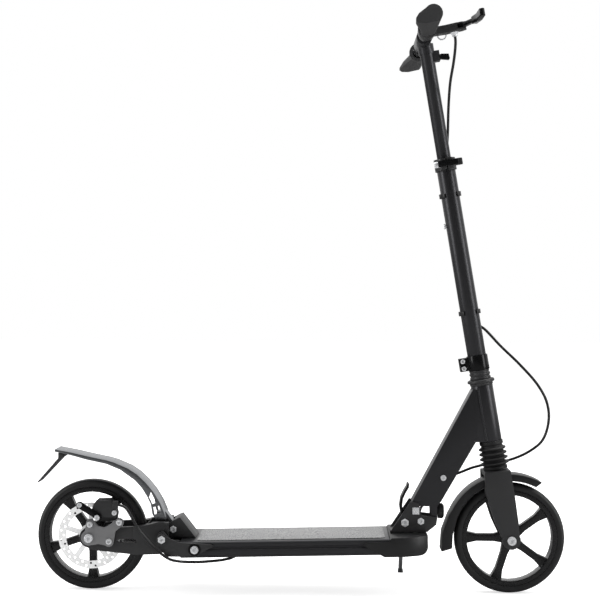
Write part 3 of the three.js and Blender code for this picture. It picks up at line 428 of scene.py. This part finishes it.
def spun(section, centre, steps, axis=(0, 1, 0), start=(1, 0, 0)):
    """A closed section of (radius, along) points in mm, turned a full circle about an axis."""
    shape = bmesh.new()
    along, out = Vector(axis), Vector(start)
    ring = [shape.verts.new(centre + out * (r * MM) + along * (y * MM)) for r, y in section]
    for a, b in zip(ring, ring[1:] + ring[:1]):
        shape.edges.new((a, b))
    bmesh.ops.spin(
        shape, geom=shape.verts[:] + shape.edges[:], cent=centre, axis=along,
        angle=math.radians(360), steps=steps, use_merge=True)
    return shape


TYRE_STEPS = 160
for end, axle in AXLES.items():
    place(spun(TYRE_SECTION, axle, TYRE_STEPS), end + "_tyre_tread", end + "_wheel", urethane,
          (end + "_tyre",), 50)

# Wheel cores are moulded nylon with a glossy skin: five spokes that flare into the rim
nylon, tree, shader = finish("moulded_nylon_black", "#121213", 0.0, 0.24)
grain(tree, shader, 4.0, 0.02, (0.2, 0.32))
for end in AXLES:
    eased(end + "_wheel_core", end + "_wheel", nylon, 1.3, segments=3)

# The bearings sit behind black rubber seals with a steel inner race
nitrile, tree, shader = finish("nitrile_rubber_black", "#101011", 0.0, 0.55)
grain(tree, shader, 1.0, 0.02, (0.5, 0.7))
SEAL_BORE, SEAL_EDGE = 6.2, 10.4
for end, axle in AXLES.items():
    for side in (-1, 1):
        back, face = side * 15.05, side * 15.35
        seal = [(SEAL_BORE, back), (SEAL_EDGE, back), (SEAL_EDGE, face), (SEAL_BORE, face)]
        place(spun(seal, axle, 48), f"{end}_bearing_seal_{'left' if side > 0 else 'right'}",
              end + "_wheel", nitrile)

# The brake disc is laser-cut stainless steel, ground in circles: nearly white, with two rows of
# small holes in the braking ring
stainless, tree, shader = finish("ground_stainless_steel", "#f0f0f0", 0.25, 0.3)
grain(tree, shader, 1.4, 0.008, (0.24, 0.4))


HOLE_STEPS = 20
HOLE_RADIUS = 2.1
DISC_OFFSET = Vector((0, 0.021, 0))
disc_holes = bmesh.new()
for i in range(HOLE_STEPS):
    for ring_radius, lead in ((49.8, 0.0), (55.4, 0.5)):
        turn = math.tau * (i + lead) / HOLE_STEPS
        cylinder(
            disc_holes,
            AXLES["rear"] + Vector((math.cos(turn), 0, math.sin(turn))) * ring_radius * MM
            - DISC_OFFSET, (0, 1, 0), HOLE_RADIUS, 6, 14)
place(carve(merged_copy("brake_disc"), disc_holes), "drilled_brake_disc", "rear_wheel", stainless,
      ("brake_disc",))

# The brake mudguard is a bent aluminium channel, polished along its length and clear lacquered
polished, tree, shader = finish("polished_aluminium", "#8f9194", 1.0, 0.26)
grain(tree, shader, 1.5, 0.01, (0.24, 0.4), (0.2, 1, 1))
eased("rear_mudguard", "mudguard", polished, 0.7)

# The crossbar is chromed steel tube
chrome, tree, shader = finish("chromed_steel", "#e8e8ea", 1.0, 0.08)
grain(tree, shader, 3.0, 0.005, (0.06, 0.12))
eased("crossbar", "handlebar", chrome, 0.4)

# The brake lever's housing ends in a bright conical nose that holds the cable's adjuster, and a
# steel ring for a strap hangs under the bar
NOSE_SECTION = [(2.6, 0.0), (4.0, 0.0), (5.0, 3.5), (9.0, 9.0), (9.0, 10.6), (2.6, 10.6)]
place(spun(NOSE_SECTION, on_stem(45, -82, 900.6), 48, STEM_UP, (0, 1, 0)), "cable_adjuster_nose",
      "handlebar", zinc)
RING_SECTION = [(6.4, -1.2), (8.6, -1.2), (8.6, 1.2), (6.4, 1.2)]
place(spun(RING_SECTION, on_stem(25, -60, 911), 40), "strap_ring", "handlebar", zinc)

# Grips and flap are soft moulded rubber: dark grey and matt, with a leathery mould texture. The
# fork's bellows is the harder, blacker rubber of the bearing seals
soft_rubber, tree, shader = finish("moulded_grip_rubber", "#282829", 0.0, 0.72)
grain(tree, shader, 1.3, 0.12, (0.62, 0.8), detail=5.0)
eased("grip_left", "handlebar", soft_rubber, 2.4, 50, 3)
eased("grip_right", "handlebar", soft_rubber, 2.4, 50, 3)
eased("mud_flap", "mudguard", soft_rubber, 0.5)
eased("fork_bellows", "fork", nitrile, 0.7, 60, 2)
eased("rear_spring", "deck", soft_rubber, 0.8)

# Mouldings such as the deck's nose, front mudguard, knob and clips are glass-filled nylon: dark,
# half-matt, with the fine texture of an eroded mould
moulded, tree, shader = finish("glass_filled_nylon_black", "#151516", 0.0, 0.42)
grain(tree, shader, 1.1, 0.03, (0.36, 0.5))
for name, body, edge in [
    ("deck_nose", "deck", 1.8), ("front_mudguard", "fork", 0.9), ("fold_knob", "knob", 0.8),
    ("cable_clip_1", "stem", 0.5), ("cable_clip_2", "stem", 0.5),
]:
    eased(name, body, moulded, edge)

# The grip sheet is silicon-carbide grit glued on film: mid grey, rough, speckled at about 0.8 mm,
# drawn coarser than real grit so that it shows
grit, tree, shader = finish("silicon_carbide_grit", "#8f8f90", 0.0, 0.9)
speckle = grain(tree, shader, 1.6, 0.25, (0.8, 1.0), detail=6.0)
tint = put(tree, "ShaderNodeValToRGB", {"Fac": (speckle, "Fac")})
tint.color_ramp.elements[0].position = 0.36
tint.color_ramp.elements[0].color = linear("#5c5c5d")
tint.color_ramp.elements[1].position = 0.62
tint.color_ramp.elements[1].color = linear("#b4b4b4")
tree.links.new(tint.outputs["Color"], shader.inputs["Base Color"])
eased("grip_tape", "deck", grit, 0.3)

# The brake cable runs in a 5 mm PVC jacket, shiny black. It leaves the lever's adjuster, follows
# the stem through two clips, loops into the neck and comes out again beside the rear wheel
jacket, tree, shader = finish("pvc_cable_jacket", "#141415", 0.0, 0.35)
grain(tree, shader, 1.0, 0.01, (0.3, 0.42))


def smooth_path(points, steps=8):
    """Points along a centripetal curve through the given ones."""
    ends = [points[0] * 2 - points[1]] + list(points) + [points[-1] * 2 - points[-2]]
    path = []
    for p0, p1, p2, p3 in zip(ends, ends[1:], ends[2:], ends[3:]):
        t1 = (p1 - p0).length ** 0.5
        t2 = t1 + (p2 - p1).length ** 0.5
        t3 = t2 + (p3 - p2).length ** 0.5
        for i in range(steps):
            t = t1 + (t2 - t1) * i / steps
            a1 = p0.lerp(p1, t / t1)
            a2 = p1.lerp(p2, (t - t1) / (t2 - t1))
            a3 = p2.lerp(p3, (t - t2) / (t3 - t2))
            path.append(a1.lerp(a2, t / t2).lerp(a2.lerp(a3, (t - t1) / (t3 - t1)), (t - t1) / (t2 - t1)))
    return path + [points[-1]]


def jacketed(name, points, node, diameter=0.005):
    """A stretch of cable along a smooth curve through the given points, standing in for a CAD node that
    it hides.
    """
    path = smooth_path(points)
    line = bpy.data.curves.new(name, "CURVE")
    line.dimensions = "3D"
    line.bevel_depth = diameter / 2
    line.bevel_resolution = 4
    line.use_fill_caps = True
    spline = line.splines.new("POLY")
    spline.points.add(len(path) - 1)
    for spot, p in zip(spline.points, path):
        spot.co = (*p, 1.0)
    holder = bpy.data.objects.new(name + "_line", line)
    bpy.context.scene.collection.objects.link(holder)
    data = bpy.data.meshes.new_from_object(holder)
    data.name = name
    bpy.data.objects.remove(holder)
    piece = bpy.data.objects.new(name, data)
    bpy.context.scene.collection.objects.link(piece)
    data.materials.clear()
    data.materials.append(jacket)
    data.shade_smooth()
    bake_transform(piece)
    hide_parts(node)


jacketed("cable_at_bar", [
    on_stem(*p) for p in [
        (45, -82, 900.6), (44.6, -81, 893), (42.5, -74, 880), (38, -58, 860), (30, -28, 830),
        (23, 0, 790), (16, 18, 745), (9, 23.4, 712), (4, 23.4, 690), (3, 23.4, 660)]
], "brake_cable_bar")
jacketed("cable_at_stem", [
    on_stem(*p) for p in [
        (3, 23.4, 659.7), (3, 23.4, 632), (3, 23.4, 500), (3, 23.4, 410), (4.5, 23.4, 398)]
] + [Vector(p) * MM for p in [
    (336, 25, 479), (366, 25, 448), (402, 20, 413), (433, 12, 377), (449, 8, 346), (453, 9, 313),
    (443, 14, 276), (420, 22, 254), (388, 30, 238), (354, 32, 231), (318, 28, 223), (297, 18, 216.5),
    (287, 12.1, 213.5)]
], "brake_cable_loop")
jacketed("cable_at_wheel", [Vector(p) * MM for p in [
    (-212.6, -73.2, 64.65), (-228, -77, 68.5), (-243, -79.5, 78), (-258, -78, 90), (-272, -72, 103.5),
    (-290, -62, 122), (-302, -56, 141), (-314, -50, 156), (-325.9, -46, 160)]
], "brake_cable_rear")
for name in ("brake_cable_neck", "brake_cable_deck"):
    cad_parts[name].material_slots[0].material = jacket
